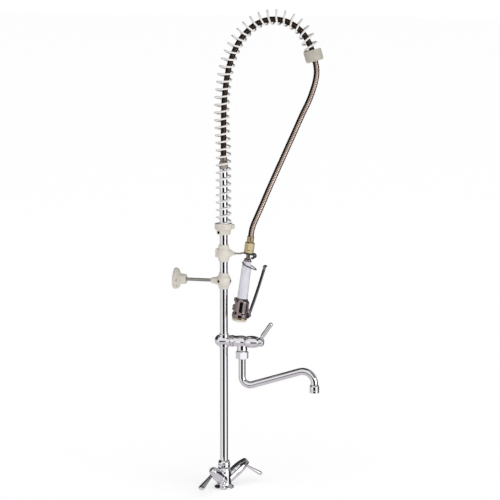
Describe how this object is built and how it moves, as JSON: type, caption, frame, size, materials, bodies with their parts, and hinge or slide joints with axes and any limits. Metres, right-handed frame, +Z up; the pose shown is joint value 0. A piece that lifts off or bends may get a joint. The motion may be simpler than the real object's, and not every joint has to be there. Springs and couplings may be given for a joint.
{
  "type": "pre rinse faucet",
  "caption": "Deck-mounted pre-rinse faucet: two-lever mixer, tall riser with swinging add-on spout, wall bracket and a squeeze-lever spray gun on a spring-arched hose.",
  "frame": {"origin": "centre of the mixer base where it stands on the deck, on the riser's axis", "axes": "+Z up along the riser; -Y towards the user, the way the hose arches; +Y towards the wall; +X to the user's right"},
  "size_m": [0.1992, 0.3789, 1.2018],
  "materials": {
    "chrome": "polished chrome plate on brass",
    "steel": "plain stainless steel",
    "brass": "yellow brass, turned",
    "nickel": "nickel plate",
    "dark_nickel": "dark polished nickel",
    "hose_braid": "flexible stainless hose",
    "cream_plastic": "moulded plastic, warm off-white",
    "spring_coat": "white coated spring wire",
    "grip_plastic": "moulded plastic, pale grey",
    "rubber": "black rubber",
    "pale_rubber": "pale grey rubber"
  },
  "bodies": {
    "stand": {"base_body": "chrome", "base_gasket": "rubber", "riser_oring": "rubber", "riser_nut": "chrome", "hot_cartridge": "brass", "hot_bonnet": "brass", "cold_cartridge": "brass", "cold_bonnet": "brass", "lower_riser": "chrome", "upper_riser": "chrome", "spout_tee": "chrome", "tee_union_nut": "chrome", "spout_valve_body": "chrome", "spout_cartridge": "brass", "spout_bonnet": "chrome", "spout_nut": "chrome", "wall_tee": "cream_plastic", "wall_tee_riser_screw": "steel", "wall_tee_side_screw": "steel", "wall_rod": "chrome", "wall_flange": "cream_plastic", "hook_tee": "cream_plastic", "hook_tee_screw": "steel", "hook_fork": "steel", "spring_lower_collar": "cream_plastic", "lower_collar_screw": "steel", "riser_hose_nut": "nickel", "hose_ferrule_riser": "nickel", "hose": "hose_braid", "spring": "spring_coat", "spring_top_collar": "cream_plastic"},
    "hot_lever_body": {"hot_lever": "chrome", "hot_spindle": "brass", "hot_lever_screw": "steel", "hot_index_cap": "chrome"},
    "cold_lever_body": {"cold_lever": "chrome", "cold_spindle": "brass", "cold_lever_screw": "steel", "cold_index_cap": "chrome"},
    "spout_lever_body": {"spout_lever_hub": "chrome", "spout_lever_rod": "chrome", "spout_lever_screw": "steel", "spout_spindle": "brass"},
    "spout_body": {"spout_tube": "chrome", "aerator_housing": "chrome", "aerator_insert": "steel"},
    "gun_body_group": {"hose_ferrule_gun": "nickel", "gun_coupling_nut": "brass", "gun_nipple": "nickel", "gun_grip": "grip_plastic", "gun_body": "dark_nickel", "gun_lever_pin": "steel", "gun_stem_spring": "steel", "gun_packing_nut": "brass", "spray_ring": "brass", "spray_bumper": "pale_rubber", "spray_face": "steel"},
    "gun_lever_body": {"gun_lever": "dark_nickel"},
    "gun_stem_body": {"gun_stem": "steel"},
    "hold_ring_body": {"hold_ring": "steel"}
  },
  "joints": [
    {"name": "hot_lever_turn", "type": "hinge", "parent": "stand", "child": "hot_lever_body", "pos_m": [0, 0, 0.0152], "axis": [-0.8283, 0.1312, 0.5446], "range_deg": [0, 90]},
    {"name": "cold_lever_turn", "type": "hinge", "parent": "stand", "child": "cold_lever_body", "pos_m": [0, 0, 0.0152], "axis": [0.633, -0.5502, 0.5446], "range_deg": [-90, 0]},
    {"name": "spout_lever_turn", "type": "hinge", "parent": "stand", "child": "spout_lever_body", "pos_m": [0, 0, 0.3775], "axis": [0, -1, 0], "range_deg": [0, 90]},
    {"name": "spout_swing", "type": "hinge", "parent": "stand", "child": "spout_body", "pos_m": [0, -0.0472, 0.345], "axis": [0, 0, 1], "range_deg": [-120, 120]},
    {"name": "gun_unhook", "type": "slide", "parent": "stand", "child": "gun_body_group", "axis": [0, -0.9903, -0.1392], "range_m": [0, 0.036], "deforming": ["hose"]},
    {"name": "gun_lever_squeeze", "type": "hinge", "parent": "gun_body_group", "child": "gun_lever_body", "pos_m": [0, -0.0635, 0.4425], "axis": [-1, 0, 0], "range_deg": [0, 6], "stiffness_Nm_per_rad": 0.8},
    {"name": "gun_stem_travel", "type": "slide", "parent": "gun_body_group", "child": "gun_stem_body", "axis": [0, 0.9903, 0.1392], "range_m": [0, 0.0016]},
    {"name": "hold_ring_swing", "type": "hinge", "parent": "gun_body_group", "child": "hold_ring_body", "pos_m": [0, -0.04902, 0.57732], "axis": [-1, 0, 0], "range_deg": [-12, 25]}
  ],
  "couplings": [
    {"joint": "gun_stem_travel", "follows": "gun_lever_squeeze", "m_per_rad": 0.015}
  ]
}
